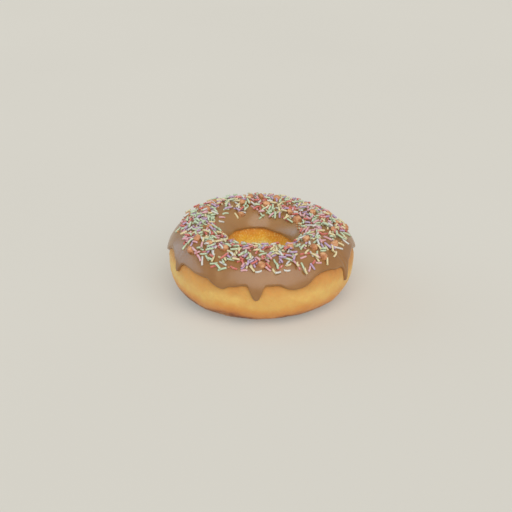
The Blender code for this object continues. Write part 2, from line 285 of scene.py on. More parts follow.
def drop_at(azimuth):
    """How far the outer edge hangs below its usual line."""
    drop = 0.0
    for from_front, half_width, depth in DRIPS:
        away = (azimuth - FRONT - from_front + 180.0) % 360.0 - 180.0
        if abs(away) < half_width:
            drop += depth * (1 - abs(away / half_width) ** DRIP_SHARPNESS) ** 2
    return drop


def outer_edge(azimuth):
    """Section angle of the frosting's lower edge on the outside."""
    return OUTER_EDGE_ANGLE - math.degrees(drop_at(azimuth) / SECTION_RADIUS)


def inner_edge(azimuth):
    """Section angle of the frosting's lower edge inside the hole."""
    return INNER_EDGE_ANGLE + waves(INNER_EDGE_WAVES, azimuth)


lowest = min(dough_point(azimuth, outer_edge(azimuth))[1] for azimuth in range(360))
print(f"the longest drip ends {lowest / MM:.1f} mm up")

# %% The frosting ring
FROSTING_AROUND = 254
FRONT_CROWDING = 0.4  # how far the sections are drawn towards the front, where the drips are seen
FROSTING_ACROSS = 76
SKIN_SHARE = 0.72  # share of the section's points that lie on the outer skin
LIP_CROWDING = 0.45  # how far the points are drawn towards the two lips
LIP_WIDTH = 1.5 * MM
LIP_ROUNDNESS = 2.4  # 2 would be a quarter circle, and more is fuller
SUNK = 0.5 * MM  # depth of the underside below the dough's surface


def skin_height(run_in):
    """Height of the skin over the dough at a distance in from the lip: a round, then level."""
    near = min(run_in / LIP_WIDTH, 1.0)
    return (FROSTING_SKIN + SUNK) * math.sqrt(max(1 - (1 - near) ** LIP_ROUNDNESS, 0.0)) - SUNK


def crowded(azimuth):
    """An azimuth drawn towards the front, so that sections lie closer there."""
    from_front = math.radians(azimuth - FRONT)
    return azimuth - math.degrees(FRONT_CROWDING * math.sin(from_front))


def frosting_place(azimuth, share):
    """Where a point of the frosting's torus belongs: out along the skin, then back underneath."""
    azimuth = crowded(azimuth)
    first, last = outer_edge(azimuth), inner_edge(azimuth)
    if share < SKIN_SHARE:
        along = share / SKIN_SHARE
        along += LIP_CROWDING * ((1 - math.cos(math.pi * along)) / 2 - along)
        angle = first + (last - first) * along
        run_in = math.radians(min(angle - first, last - angle)) * SECTION_RADIUS
        return in_space(azimuth, *offset_point(azimuth, angle, skin_height(run_in)))
    back = (share - SKIN_SHARE) / (1 - SKIN_SHARE)
    return in_space(azimuth, *offset_point(azimuth, last + (first - last) * back, -SUNK))


frosting = shaped_ring("chocolate_frosting", FROSTING_AROUND, FROSTING_ACROSS, frosting_place)
add_relief(frosting, "slow_flow", "CLOUDS", grain=11 * MM, strength=0.45 * MM)
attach(frosting, "root")
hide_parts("frosting")

# %% [markdown]
# ## Where the toppings fall
#
# The strands and nuggets were shaken over the wet frosting and stuck where they fell: in a band
# round the crown that is wide here and narrow there, with a few bare patches in it. The band could
# be painted on the frosting as a vertex group. A table is better here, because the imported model
# has the same one. A row of the band has its degrees from the front, more than 0 to the right, and
# then the section angles of the outer and the inner border, which run straight between the rows.
# A bare patch has its degrees from the front, its section angle and its radius.

# %% The band of toppings
ZONE = (
    (-180.0, 42.0, 136.0),
    (-170.0, 42.0, 127.0),
    (-150.0, 41.0, 124.0),
    (-135.0, 43.0, 112.0),
    (-118.0, 45.0, 104.0),
    (-100.0, 53.0, 110.0),
    (-85.0, 54.0, 118.0),
    (-72.0, 51.0, 126.0),
    (-50.0, 48.0, 131.0),
    (-30.0, 44.0, 133.0),
    (-12.0, 48.0, 134.0),
    (8.0, 46.0, 134.0),
    (26.0, 41.0, 134.0),
    (38.0, 44.0, 133.0),
    (52.0, 49.0, 132.0),
    (66.0, 54.0, 131.0),
    (80.0, 46.0, 130.0),
    (120.0, 42.0, 129.0),
    (150.0, 41.0, 130.0),
    (180.0, 42.0, 136.0),
)
BARE_PATCHES = (
    (-154.0, 104.0, 2.0 * MM),
    (-140.0, 118.0, 2.5 * MM),
    (-126.0, 106.0, 3.6 * MM),
    (-31.0, 72.0, 2.2 * MM),
    (-16.0, 56.0, 2.2 * MM),
    (33.0, 57.0, 3.0 * MM),
    (50.0, 56.0, 2.2 * MM),
    (63.0, 75.0, 2.2 * MM),
)


def zone_limits(azimuth):
    """The outer and inner section angle of the toppings' band at an azimuth."""
    from_front = (azimuth - FRONT + 180.0) % 360.0 - 180.0
    for (start, *here), (end, *there) in zip(ZONE, ZONE[1:]):
        if start <= from_front <= end:
            share = (from_front - start) / (end - start)
            return [low + (high - low) * share for low, high in zip(here, there)]


def is_bare(azimuth, angle):
    """True inside one of the bare patches."""
    here = in_space(azimuth, *dough_point(azimuth, angle))
    for from_front, middle, radius in BARE_PATCHES:
        centre = in_space(FRONT + from_front, *dough_point(FRONT + from_front, middle))
        if (centre - here).length < radius:
            return True
    return False


print("band at the front:", [round(limit) for limit in zone_limits(FRONT)], "degrees")

# %% [markdown]
# A topping's place is one matrix, which says where its middle lies, where its length points and
# which way is up from the frosting. Copies could be turned to the surface with Shrinkwrap or by
# parenting them to faces. With a matrix, a copy is laid in one multiplication, and the same matrix
# gives a few points along a strand's middle line, which are enough to tell if it is clear.

# %% A place on the frosting
STRAND_DIAMETER = 1.0 * MM
STRAND_LENGTHS = (3.4 * MM, 5.2 * MM)
STRAND_LIFT = 0.12 * MM
NUGGET_SIZES = (2.6 * MM, 3.4 * MM)
NUGGET_LIFT = 0.55 * MM
CLEARANCE = 0.2 * MM
STRAND_SAMPLES = 5


def frosting_frame(azimuth, angle, lift, heading=0.0):
    """A matrix over the frosting: Z is the surface's normal, and X lies along the heading."""
    place = in_space(azimuth, *offset_point(azimuth, angle, FROSTING_SKIN + lift))
    normal = in_space(azimuth, *section_normal(azimuth, angle))
    round_ring = Vector((0, 0, 1)).cross(in_space(azimuth, 1.0, 0.0)).normalized()
    across = normal.cross(round_ring)
    turn = math.radians(heading)
    x_axis = round_ring * math.cos(turn) + across * math.sin(turn)
    turned = Matrix((x_axis, normal.cross(x_axis), normal)).transposed().to_4x4()
    return Matrix.Translation(place) @ turned


def samples_along(place, length):
    """Points along the middle line of a strand."""
    shares = [i / (STRAND_SAMPLES - 1) - 0.5 for i in range(STRAND_SAMPLES)]
    return [place @ Vector((length * share, 0, 0)) for share in shares]


print("a strand lies free where its", STRAND_SAMPLES, "middle points are clear of the others'")

# %% [markdown]
# What stands out is laid one by one from a list: the large nuggets, and the strands along the
# front border, where each can be seen alone against the bare frosting. A nugget has its degrees
# from the front, section angle and size. A strand has a heading too, where 0 runs round the ring
# and 90 towards the hole, then its length and its colour.

# %% Toppings laid one by one
PLACED_NUGGETS = (
    (-54.0, 54.0, 3.4 * MM),
    (-33.0, 86.0, 3.4 * MM),
    (0.0, 58.0, 3.2 * MM),
    (29.0, 98.0, 3.2 * MM),
    (45.0, 54.0, 3.2 * MM),
    (46.0, 78.0, 3.0 * MM),
    (64.0, 63.0, 3.2 * MM),
    (99.0, 46.0, 3.4 * MM),
    (121.0, 54.0, 3.4 * MM),
    (124.0, 84.0, 3.0 * MM),
    (166.0, 80.0, 3.4 * MM),
    (174.0, 105.0, 3.4 * MM),
    (-180.0, 74.0, 3.0 * MM),
    (-160.0, 98.0, 3.2 * MM),
    (-150.0, 127.0, 2.6 * MM),
    (-137.0, 74.0, 2.8 * MM),
    (-126.0, 58.0, 3.2 * MM),
    (-119.0, 84.0, 3.0 * MM),
    (-72.0, 124.0, 2.6 * MM),
)
PLACED_STRANDS = (
    (-62.0, 52.0, 110.0, 3.5 * MM, "mint"),
    (-47.0, 53.0, 155.0, 3.5 * MM, "coral"),
    (-43.0, 49.0, 150.0, 4.0 * MM, "pink"),
    (-43.0, 60.0, 30.0, 4.0 * MM, "mint"),
    (-38.0, 69.0, 140.0, 4.5 * MM, "white"),
    (-34.0, 58.0, 105.0, 4.5 * MM, "cream"),
    (-32.0, 50.0, 20.0, 3.5 * MM, "mint"),
    (-31.0, 45.0, 35.0, 3.0 * MM, "coral"),
    (-28.0, 46.0, 150.0, 4.0 * MM, "mint"),
    (-25.0, 44.0, 30.0, 4.0 * MM, "mint"),
    (-26.0, 54.0, 165.0, 4.0 * MM, "white"),
    (-22.0, 73.0, 65.0, 4.5 * MM, "mint"),
    (-22.0, 64.0, 10.0, 3.5 * MM, "mint"),
    (-18.0, 50.0, 165.0, 3.5 * MM, "coral"),
    (-15.0, 65.0, 35.0, 3.5 * MM, "coral"),
    (-12.0, 54.0, 60.0, 3.0 * MM, "lilac"),
    (-11.0, 47.0, 10.0, 3.0 * MM, "pink"),
    (-7.0, 60.0, 100.0, 4.5 * MM, "cream"),
    (-6.0, 50.0, 130.0, 3.5 * MM, "cream"),
    (-4.0, 66.0, 110.0, 3.5 * MM, "lilac"),
    (-2.0, 47.0, 15.0, 3.0 * MM, "white"),
    (4.0, 60.0, 80.0, 4.5 * MM, "cream"),
    (4.0, 50.0, 145.0, 3.0 * MM, "pink"),
    (8.0, 46.0, 120.0, 3.0 * MM, "cream"),
    (10.0, 43.0, 15.0, 3.0 * MM, "white"),
    (10.0, 62.0, 110.0, 4.5 * MM, "mint"),
    (12.0, 52.0, 35.0, 3.5 * MM, "coral"),
    (14.0, 68.0, 60.0, 4.5 * MM, "lilac"),
    (16.0, 46.0, 170.0, 3.0 * MM, "white"),
    (20.0, 65.0, 140.0, 5.0 * MM, "mint"),
    (23.0, 56.0, 115.0, 4.0 * MM, "pink"),
    (24.0, 48.0, 100.0, 3.0 * MM, "coral"),
    (27.0, 47.0, 90.0, 4.5 * MM, "mint"),
    (27.0, 38.0, 100.0, 3.0 * MM, "cream"),
    (31.0, 42.0, 50.0, 3.5 * MM, "pink"),
    (33.0, 43.0, 115.0, 3.5 * MM, "lilac"),
    (35.0, 49.0, 30.0, 3.0 * MM, "coral"),
    (31.0, 65.0, 5.0, 3.5 * MM, "pink"),
    (39.0, 47.0, 160.0, 3.0 * MM, "pink"),
    (36.0, 72.0, 25.0, 3.5 * MM, "cream"),
    (40.0, 56.0, 70.0, 5.0 * MM, "cream"),
    (45.0, 43.0, 65.0, 3.5 * MM, "cream"),
    (50.0, 65.0, 155.0, 3.0 * MM, "mint"),
    (57.0, 53.0, 100.0, 3.0 * MM, "cream"),
    (55.0, 48.0, 20.0, 3.5 * MM, "cream"),
    (56.0, 68.0, 50.0, 4.5 * MM, "cream"),
    (69.0, 54.0, 110.0, 3.5 * MM, "cream"),
    (-127.0, 115.0, 160.0, 3.5 * MM, "mint"),
    (-116.0, 117.0, 140.0, 3.5 * MM, "pink"),
    (-107.0, 122.0, 130.0, 3.0 * MM, "white"),
    (-141.0, 127.0, 90.0, 3.5 * MM, "cream"),
)
print(len(PLACED_NUGGETS), "nuggets and", len(PLACED_STRANDS), "strands to lay by hand")

# %% [markdown]
# The first helping is the one that the imported model has: what is listed, then nuggets and
# strands at seeded random places, each kept only if it is clear of all that lie there. They could
# be a particle system, but particles aren't meshes and would be lost in an export. Near the hole
# the ring is narrower, so even draws of the angle would crowd the toppings there, and some of them
# are thrown away.

# %% The first helping
NUGGET_COUNT = 36
FIRST_STRANDS = 175
SCATTER_SEED = 20
taken = []  # (point, half thickness) of everything that lies on the frosting
nugget_places = []  # (place, size)
strand_places = []  # (place, length, colour or None where it is still to be drawn)
not_laid = []  # strands from the list whose place was taken: they go on top later


def is_free(points, reach, clearance):
    """True if a topping with these middle points would be clear of all the others."""
    return all((p - q).length > reach + other + clearance for q, other in taken for p in points)


def too_near_the_hole(rng, azimuth, angle):
    """Thins out the draws where the ring is narrower, so that toppings lie evenly on it."""
    return rng.uniform(0.0, RING_RADIUS + RING_HALF_WIDTH) >= dough_point(azimuth, angle)[0]


def lay_nugget(azimuth, angle, size, heading=0.0):
    """Lays a nugget if its place is free."""
    place = frosting_frame(azimuth, angle, NUGGET_LIFT, heading)
    if is_free([place.translation], size / 2, CLEARANCE):
        taken.append((place.translation, size / 2))
        nugget_places.append((place, size))


def lay_strand(azimuth, angle, heading, length, colour=None):
    """Lays a strand if its place is free, and says whether it was."""
    place = frosting_frame(azimuth, angle, STRAND_LIFT, heading)
    points = samples_along(place, length)
    free = is_free(points, STRAND_DIAMETER / 2, CLEARANCE)
    if free:
        taken.extend((point, STRAND_DIAMETER / 2) for point in points)
        strand_places.append((place, length, colour))
    return free


def first_helping():
    """The listed toppings, then others at random, each lying clear of all the rest."""
    for from_front, angle, size in PLACED_NUGGETS:
        lay_nugget(FRONT + from_front, angle, size)
    for from_front, angle, heading, length, colour in PLACED_STRANDS:
        if not lay_strand(FRONT + from_front, angle, heading, length, colour):
            not_laid.append((FRONT + from_front, angle, heading, length, colour))
    rng = random.Random(SCATTER_SEED)
    while len(strand_places) < FIRST_STRANDS:
        is_nugget = len(nugget_places) < NUGGET_COUNT
        azimuth = rng.uniform(0.0, 360.0)
        angle = rng.uniform(*zone_limits(azimuth))
        heading = rng.uniform(0.0, 180.0)
        size = rng.uniform(*(NUGGET_SIZES if is_nugget else STRAND_LENGTHS))
        if too_near_the_hole(rng, azimuth, angle) or is_bare(azimuth, angle):
            continue
        if is_nugget:
            lay_nugget(azimuth, angle, size, heading)
        else:
            lay_strand(azimuth, angle, heading, size)


first_helping()
print(len(nugget_places), "nuggets and", len(strand_places), "strands in the first helping")
print(len(not_laid), "strands laid by hand wait for the second helping")

# %% [markdown]
# Real strands lie two or three deep. The second helping fills the spaces, and where a strand would
# cross another it is raised at one end or both until it rests on it. A rigid body simulation could
# do this, but it is slow and its heap changes with every small edit. A short list of perches,
# tried from the lowest up, gives the same heap each time. Fewer strands fell on the right side.

# %% The second helping
SECOND_STRANDS = 640
SECOND_SEED = 7
SECOND_LENGTHS = (1.7 * MM, 4.2 * MM)
SECOND_INSET = 6.0  # degrees that it stays back from the outer border, where the strands lie singly
SPARSE_SIDE = (24.0, 86.0)  # degrees from the front where fewer strands fell
SPARSE_SHARE = 0.45  # share of the draws there that are thrown away
TOUCH = -0.2 * MM  # strands press a little into what they lie across
# Heights of a strand's two ends over its usual lift, in millimetres and lowest first.
LOW_PERCHES = ((0, 0), (0, 0.8), (0.8, 0), (0, 1.3), (1.3, 0))
HIGH_PERCHES = ((0.9, 0.9), (0.9, 1.6), (1.6, 0.9), (1.8, 1.8))


def tilted(place, length, low, high):
    """A place raised by low at one end and by high at the other."""
    rise = Matrix.Translation((0, 0, (low + high) / 2))
    return place @ rise @ Matrix.Rotation(-math.atan2(high - low, length), 4, "Y")


def perch_strand(azimuth, angle, heading, length, colour=None):
    """Lays a strand on what is there already, as low as it can lie."""
    flat = frosting_frame(azimuth, angle, STRAND_LIFT, heading)
    for low, high in LOW_PERCHES + HIGH_PERCHES:
        place = tilted(flat, length, low * MM, high * MM)
        points = samples_along(place, length)
        if is_free(points, STRAND_DIAMETER / 2, TOUCH):
            taken.extend((point, STRAND_DIAMETER / 2) for point in points)
            strand_places.append((place, length, colour))
            return


def second_helping():
    """Strands in the spaces left, and across those that lie there."""
    rng = random.Random(SECOND_SEED)
    for strand in not_laid:
        perch_strand(*strand)
    while len(strand_places) < FIRST_STRANDS + SECOND_STRANDS:
        azimuth = rng.uniform(0.0, 360.0)
        outer, inner = zone_limits(azimuth)
        angle = rng.uniform(outer + SECOND_INSET, inner)
        heading = rng.uniform(0.0, 180.0)
        length = rng.triangular(*SECOND_LENGTHS)
        is_sparse = SPARSE_SIDE[0] < (azimuth - FRONT) % 360 < SPARSE_SIDE[1]
        if is_sparse and rng.random() < SPARSE_SHARE:
            continue
        if not too_near_the_hole(rng, azimuth, angle) and not is_bare(azimuth, angle):
            perch_strand(azimuth, angle, heading, length)


second_helping()
print(len(strand_places), "strands in all")

# %% [markdown]
# ## One strand, copied
#
# A sugar strand is a thin extruded rod, snapped into short lengths before it dried, so its ends
# are blunt and slightly rounded, and many are a little bent. Curves with a round bevel could make
# them, but each would then need a mesh of its own made from it. One is modelled instead: a
# cylinder with eight sides, cut into four lengths, with its ends drawn in. Every other strand is a
# copy with its own mesh, stretched to its length, bent and laid in its place. All strands of one
# colour are then joined into one piece. A few dozen faces are enough for so small a thing.

# %% The pattern strand
STRAND_SIDES = 8
STRAND_CUTS = 3
PATTERN_LENGTH = 5 * MM
END_INSET = 0.16 * MM
END_SWELL = 1.05


def pick(piece, kind, wanted):
    """Opens edit mode on a piece with only the edges or faces selected that are wanted."""
    deselect_all()
    piece.select_set(True)
    bpy.context.view_layer.objects.active = piece
    bpy.ops.object.mode_set(mode="EDIT")
    bpy.ops.mesh.select_mode(type=kind)
    bpy.ops.mesh.select_all(action="DESELECT")
    bpy.ops.object.mode_set(mode="OBJECT")
    parts = piece.data.polygons if kind == "FACE" else piece.data.edges
    for part in parts:
        part.select = wanted(part)
    bpy.ops.object.mode_set(mode="EDIT")


def pattern_strand():
    """One strand at its real size, lying along X at the origin."""
    deselect_all()
    bpy.ops.mesh.primitive_cylinder_add(
        vertices=STRAND_SIDES,
        radius=STRAND_DIAMETER / 2,
        depth=PATTERN_LENGTH,
        rotation=(0, math.radians(90), 0),
    )
    bpy.ops.object.transform_apply(location=True, rotation=True, scale=True)
    strand = bpy.context.object
    strand.name = "pattern_strand"
    right = [point.co.x > 0 for point in strand.data.vertices]
    pick(strand, "EDGE", lambda edge: right[edge.vertices[0]] != right[edge.vertices[1]])
    bpy.ops.mesh.subdivide(number_cuts=STRAND_CUTS)
    pick(strand, "FACE", lambda face: abs(face.normal.x) > 0.9)  # the two ends
    bpy.ops.mesh.inset(thickness=END_INSET)
    bpy.ops.transform.resize(value=(END_SWELL, 1, 1), center_override=(0, 0, 0))
    bpy.ops.object.mode_set(mode="OBJECT")
    bpy.ops.object.shade_smooth()
    return strand


strand_pattern = pattern_strand()
print("pattern strand:", len(strand_pattern.data.polygons), "faces")


# %% Lay copies of a pattern
def bent(point, length, bow, side):
    """A point of a pattern strand stretched to a length and bowed up and to the side."""
    along = point.x / PATTERN_LENGTH
    curve = 1 - 4 * along * along
    return Vector((along * length, point.y + side * curve, point.z + bow * curve))


def laid_copy(pattern, name, place_point):
    """A copy of a pattern with its own mesh, its points moved by a rule."""
    mesh = pattern.data.copy()
    for point in mesh.vertices:
        point.co = place_point(point.co)
    copy = bpy.data.objects.new(name, mesh)
    bpy.context.scene.collection.objects.link(copy)
    return copy


def join(pieces, name):
    """Several objects as one."""
    deselect_all()
    for piece in pieces:
        piece.select_set(True)
    bpy.context.view_layer.objects.active = pieces[0]
    bpy.ops.object.join()
    joined = bpy.context.object
    joined.name = joined.data.name = name
    print(f"{name}: {len(pieces)} copies, {len(joined.data.polygons)} faces")
    return joined


# %% [markdown]
# The strands come in six pastel colours, mint the most common. One mesh with a colour attribute
# could hold them all, but a piece for each colour lets each have a finish of its own. A strand's
# colour is drawn with the weight that it has in a real mix, so the colours lie scattered and not
# in turns.

# %% Strands by colour
STRAND_MIX = {"mint": 28, "cream": 22, "coral": 14, "pink": 15, "lilac": 11, "white": 10}
MOST_BEND = 0.45 * MM
BOW_SHARES = (-0.3, 0.5)  # a strand hugs the frosting less than it bends away from it
STRAND_SEED = 3


def lay_strands():
    """One joined piece of strands for each colour."""
    rng = random.Random(STRAND_SEED)
    by_colour = {colour: [] for colour in STRAND_MIX}
    for place, length, colour in strand_places:
        colour = colour or rng.choices(list(STRAND_MIX), weights=STRAND_MIX.values())[0]
        bow = rng.uniform(*BOW_SHARES) * MOST_BEND
        side = rng.triangular(-1, 1) * MOST_BEND
        copy = laid_copy(
            strand_pattern, "strand", lambda point: place @ bent(point, length, bow, side)
        )
        by_colour[colour].append(copy)
    return {colour: join(copies, f"sugar_strands_{colour}") for colour, copies in by_colour.items()}


strands = lay_strands()
bpy.data.objects.remove(strand_pattern)
for piece in strands.values():
    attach(piece, "root")
    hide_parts("frosting")

# %% [markdown]
# ## Toffee nuggets
#
# The nuggets are toffee crushed with a roller, so they break along flat faces and then rub each
# other's corners round. A ball with a strong Displace would look like a raisin, so four are broken
# as toffee is: a ball is cut by a few planes with Bisect, which fills the cuts, remeshed so that
# its faces are small and even, and roughened. The rest are copies, each turned and stretched its
# own way. The crumbs that come with them are the same patterns at a third of the size, in the gaps
# between the strands. A pattern's own width is measured, as cutting takes more off one than off
# another, and a copy is scaled by it.

# %% Pattern nuggets
NUGGET_PATTERNS = 4
PATTERN_NUGGET = 3 * MM
NUGGET_BALL = 0.56  # radius of the ball before it is cut, as a share of the nugget
NUGGET_CUTS = 9
CUT_DEPTHS = (0.34, 0.46)  # distances of the cuts from the middle, as shares of the nugget
NUGGET_VOXEL = 0.26 * MM


def any_direction(rng):
    """A random direction, of any length."""
    return Vector([rng.gauss(0, 1) for _ in range(3)])


def pattern_nugget(seed):
    """One broken nugget of the pattern size at the origin."""
    rng = random.Random(seed)
    deselect_all()
    bpy.ops.mesh.primitive_ico_sphere_add(subdivisions=3, radius=NUGGET_BALL * PATTERN_NUGGET)
    nugget = bpy.context.object
    nugget.name = f"pattern_nugget_{seed}"
    for _ in range(NUGGET_CUTS):
        away = any_direction(rng).normalized()
        pick(nugget, "FACE", lambda face: True)
        bpy.ops.mesh.bisect(
            plane_co=away * PATTERN_NUGGET * rng.uniform(*CUT_DEPTHS),
            plane_no=away,
            use_fill=True,
            clear_outer=True,
        )
        bpy.ops.mesh.select_all(action="SELECT")
        bpy.ops.mesh.convex_hull()
        bpy.ops.object.mode_set(mode="OBJECT")
    remesh = nugget.modifiers.new("even_faces", "REMESH")
    remesh.mode = "VOXEL"
    remesh.voxel_size = NUGGET_VOXEL
    bpy.ops.object.modifier_apply(modifier=remesh.name)
    add_relief(nugget, f"crumble_{seed}", "CLOUDS", grain=0.6 * MM, strength=0.42 * MM, depth=2)
    bpy.ops.object.shade_smooth()
    return nugget


def mean_width(piece):
    """The mean of a piece's three sizes."""
    return sum(piece.dimensions) / 3


nugget_patterns = [pattern_nugget(seed) for seed in range(NUGGET_PATTERNS)]
for pattern in nugget_patterns:
    width = mean_width(pattern) / MM
    print(f"{pattern.name}: {len(pattern.data.polygons)} faces, {width:.1f} mm wide")

# %% Nuggets and crumbs
CRUMB_COUNT = 70
CRUMB_SIZES = (0.6 * MM, 1.2 * MM)
CRUMB_LIFT = 0.2 * MM
CRUMB_STRAY = (3, 4)  # degrees that crumbs reach past the band's outer and inner border
CRUMB_TOUCH = -0.1 * MM
NUGGET_SEED = 11
NUGGET_SWELL = 1.18  # rough lumps reach past their size in places
NUGGET_STRETCH = ((0.9, 1.15), (0.9, 1.15), (0.85, 1.0))  # along, across and up


def crumb_places(rng):
    """Places for crumbs between the strands."""
    found = []
    while len(found) < CRUMB_COUNT:
        azimuth = rng.uniform(0.0, 360.0)
        outer, inner = zone_limits(azimuth)
        angle = rng.uniform(outer - CRUMB_STRAY[0], inner + CRUMB_STRAY[1])
        size = rng.uniform(*CRUMB_SIZES)
        place = frosting_frame(azimuth, angle, CRUMB_LIFT)
        if is_free([place.translation], size / 2, CRUMB_TOUCH) and not is_bare(azimuth, angle):
            taken.append((place.translation, size / 2))
            found.append((place, size))
    return found


def lay_nuggets():
    """All nuggets and crumbs as one piece."""
    rng = random.Random(NUGGET_SEED)
    copies = []
    swollen = [(place, size * NUGGET_SWELL) for place, size in nugget_places]
    for place, size in swollen + crumb_places(rng):
        pattern = rng.choice(nugget_patterns)
        turn = Matrix.Rotation(rng.uniform(0, math.tau), 4, any_direction(rng))
        stretch = Matrix.Diagonal([rng.uniform(*limits) for limits in NUGGET_STRETCH] + [1])
        whole = place @ stretch @ turn
        share = size / mean_width(pattern)
        copies.append(laid_copy(pattern, "nugget", lambda point: whole @ (point * share)))
    return join(copies, "toffee_nuggets")


nuggets = lay_nuggets()
for pattern in nugget_patterns:
    bpy.data.objects.remove(pattern)
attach(nuggets, "root")
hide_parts("frosting")

# %% [markdown]
# ## Finishes
#
# Every finish is a Principled shader whose colour, roughness and bump come from noise in Object
# coordinates, which are metres here, so a noise scale of 100 means grains of about a centimetre.
# Pictures wrapped round the pieces would need UV maps and would blur close up, and noise doesn't.
# The nodes could be laid out by hand in the Shader Editor. A small class with one short way to add
# each of them does the same and reads like a recipe. Colours are picked as the eye sees them on a
# screen, and a helper turns them into the linear values that the shader wants.


# %% Helpers for the finishes
def linear(red, green, blue):
    """A colour of screen values from 0 to 255 as the linear RGBA that a shader takes."""
    values = [value / 255 for value in (red, green, blue)]
    return (*[v / 12.92 if v <= 0.04045 else ((v + 0.055) / 1.055) ** 2.4 for v in values], 1.0)


class Finish:
    """A Principled material and short ways to add the nodes that this notebook uses."""

    def __init__(self, name, roughness, specular=0.5):
        self.material = bpy.data.materials.new(name)
        self.material.use_nodes = True
        self.tree = self.material.node_tree
        self.shader = self.tree.nodes["Principled BSDF"]
        self.set("Roughness", roughness)
        self.set("Specular IOR Level", specular)
        self.place = self.tree.nodes.new("ShaderNodeTexCoord").outputs["Object"]

    def link(self, out, socket):
        """Joins an output to an input, or sets the input if the first is a plain value."""
        if isinstance(out, bpy.types.NodeSocket):
            self.tree.links.new(out, socket)
        else:
            socket.default_value = out

    def set(self, name, value):
        """Gives one of the shader's own sockets a value, or joins an output to it."""
        self.link(value, self.shader.inputs[name])

    def noise(self, scale, detail=2.0, roughness=0.5, distortion=0.0):
        """Noise at a scale in grains a metre."""
        node = self.tree.nodes.new("ShaderNodeTexNoise")
        self.tree.links.new(self.place, node.inputs["Vector"])
        node.inputs["Scale"].default_value = scale
        node.inputs["Detail"].default_value = detail
        node.inputs["Roughness"].default_value = roughness
        node.inputs["Distortion"].default_value = distortion
        return node.outputs["Fac"]

    def spread(self, value, low, high, to_low=0.0, to_high=1.0):
        """A value's range low to high spread over another range, smoothly."""
        node = self.tree.nodes.new("ShaderNodeMapRange")
        node.interpolation_type = "SMOOTHSTEP"
        limits = {"From Min": low, "From Max": high, "To Min": to_low, "To Max": to_high}
        for key, number in limits.items():
            node.inputs[key].default_value = number
        self.link(value, node.inputs["Value"])
        return node.outputs["Result"]

    def mix(self, share, first, second):
        """Two colours mixed: a share of 0 is the first, and 1 is the second."""
        node = self.tree.nodes.new("ShaderNodeMix")
        node.data_type = "RGBA"
        self.link(share, node.inputs["Factor"])
        self.link(first, node.inputs["A"])
        self.link(second, node.inputs["B"])
        return node.outputs["Result"]

    def maths(self, how, first, second):
        """Arithmetic on two values."""
        node = self.tree.nodes.new("ShaderNodeMath")
        node.operation = how
        self.link(first, node.inputs[0])
        self.link(second, node.inputs[1])
        return node.outputs["Value"]

    def ramp(self, value, stops):
        """A colour ramp through (position, colour) stops."""
        node = self.tree.nodes.new("ShaderNodeValToRGB")
        marks = node.color_ramp.elements
        while len(marks) < len(stops):
            marks.new(0.5)
        for mark, (position, colour) in zip(marks, stops):
            mark.position = position
            mark.color = colour
        self.link(value, node.inputs["Fac"])
        return node.outputs["Color"]

    def along(self, axis):
        """The place along one axis in metres: Z is the height over the floor."""
        node = self.tree.nodes.new("ShaderNodeSeparateXYZ")
        self.tree.links.new(self.place, node.inputs["Vector"])
        return node.outputs[axis]

    def radius(self):
        """Distance from the ring's axis in metres."""
        flat = self.tree.nodes.new("ShaderNodeVectorMath")
        flat.operation = "MULTIPLY"
        self.tree.links.new(self.place, flat.inputs[0])
        flat.inputs[1].default_value = (1, 1, 0)
        node = self.tree.nodes.new("ShaderNodeVectorMath")
        node.operation = "LENGTH"
        self.tree.links.new(flat.outputs["Vector"], node.inputs[0])
        return node.outputs["Value"]

    def bump(self, value, depth):
        """Fine relief: a value of 1 stands a depth in metres higher than 0."""
        node = self.tree.nodes.new("ShaderNodeBump")
        node.inputs["Distance"].default_value = depth
        self.link(value, node.inputs["Height"])
        self.set("Normal", node.outputs["Normal"])

    def glow_under(self, weight, depth, tint):
        """Light that enters and comes out again nearby, tinted, within a depth in metres."""
        self.set("Subsurface Weight", weight)
        self.set("Subsurface Scale", depth)
        self.set("Subsurface Radius", tint)

    def wear(self, piece):
        """Gives the piece this finish alone."""
        piece.data.materials.clear()
        piece.data.materials.append(self.material)
        print(f"{piece.name} wears {self.material.name}, of {len(self.tree.nodes)} nodes")


# %% [markdown]
# ### Fried crust
#
# The crust is palest in the belt round its middle, which floats above the fat on both sides of
# the fry. Above it, near the frosting, and below it the crust is more orange, and the underside's
# rim is a reddish brown round a golden middle. The top stops, right under the frosting's lip, are
# darker still with painted shade under the lip, and the darkest stops at the very base are painted
# shade where the ring curves in to the floor. This could be painted by hand on the points. A
# colour ramp over the height does it too, and noise shifts the height so that the bands waver.
# They also rise a little towards the left.

# %% Crust colours
CRUST_TOP = 26 * MM
CRUST_WAVER = 9 * MM  # how far noise shifts the bands up or down
CRUST_TIP = 0.06  # how fast the bands rise from the middle to the left
# The two lowest stops are partly painted shade where the ring meets the floor, and the two top
# stops are partly painted shade under the frosting's lip.
CRUST_AND_SHADE_BANDS = (
    (0.00, linear(92, 36, 18)),
    (0.04, linear(118, 54, 27)),
    (0.08, linear(178, 104, 51)),
    (0.13, linear(212, 139, 68)),
    (0.24, linear(226, 160, 78)),
    (0.42, linear(230, 188, 104)),
    (0.62, linear(228, 188, 106)),
    (0.80, linear(212, 159, 84)),
    (1.00, linear(180, 118, 57)),
)
# Inside the hole the crust is paler and yellower, and palest low down: partly its own colour and
# partly painted light, most of it low down where light comes up from the pale floor.
HOLE_AND_LIGHT_BANDS = (
    (0.00, linear(190, 124, 66)),
    (0.12, linear(214, 156, 88)),
    (0.34, linear(244, 210, 142)),
    (0.54, linear(255, 246, 190)),
    (0.62, linear(255, 240, 156)),
    (0.70, linear(255, 218, 98)),
    (0.78, linear(252, 198, 70)),
    (0.86, linear(238, 174, 52)),
    (1.00, linear(214, 132, 38)),
)
HOLE_EDGE = (20 * MM, 25 * MM)  # radii between which the one turns into the other
UNDERSIDE = linear(188, 124, 66)
UNDERSIDE_EDGE = (33 * MM, 36 * MM)  # radii between which the underside turns into the brown rim
UNDERSIDE_TOP = 4 * MM


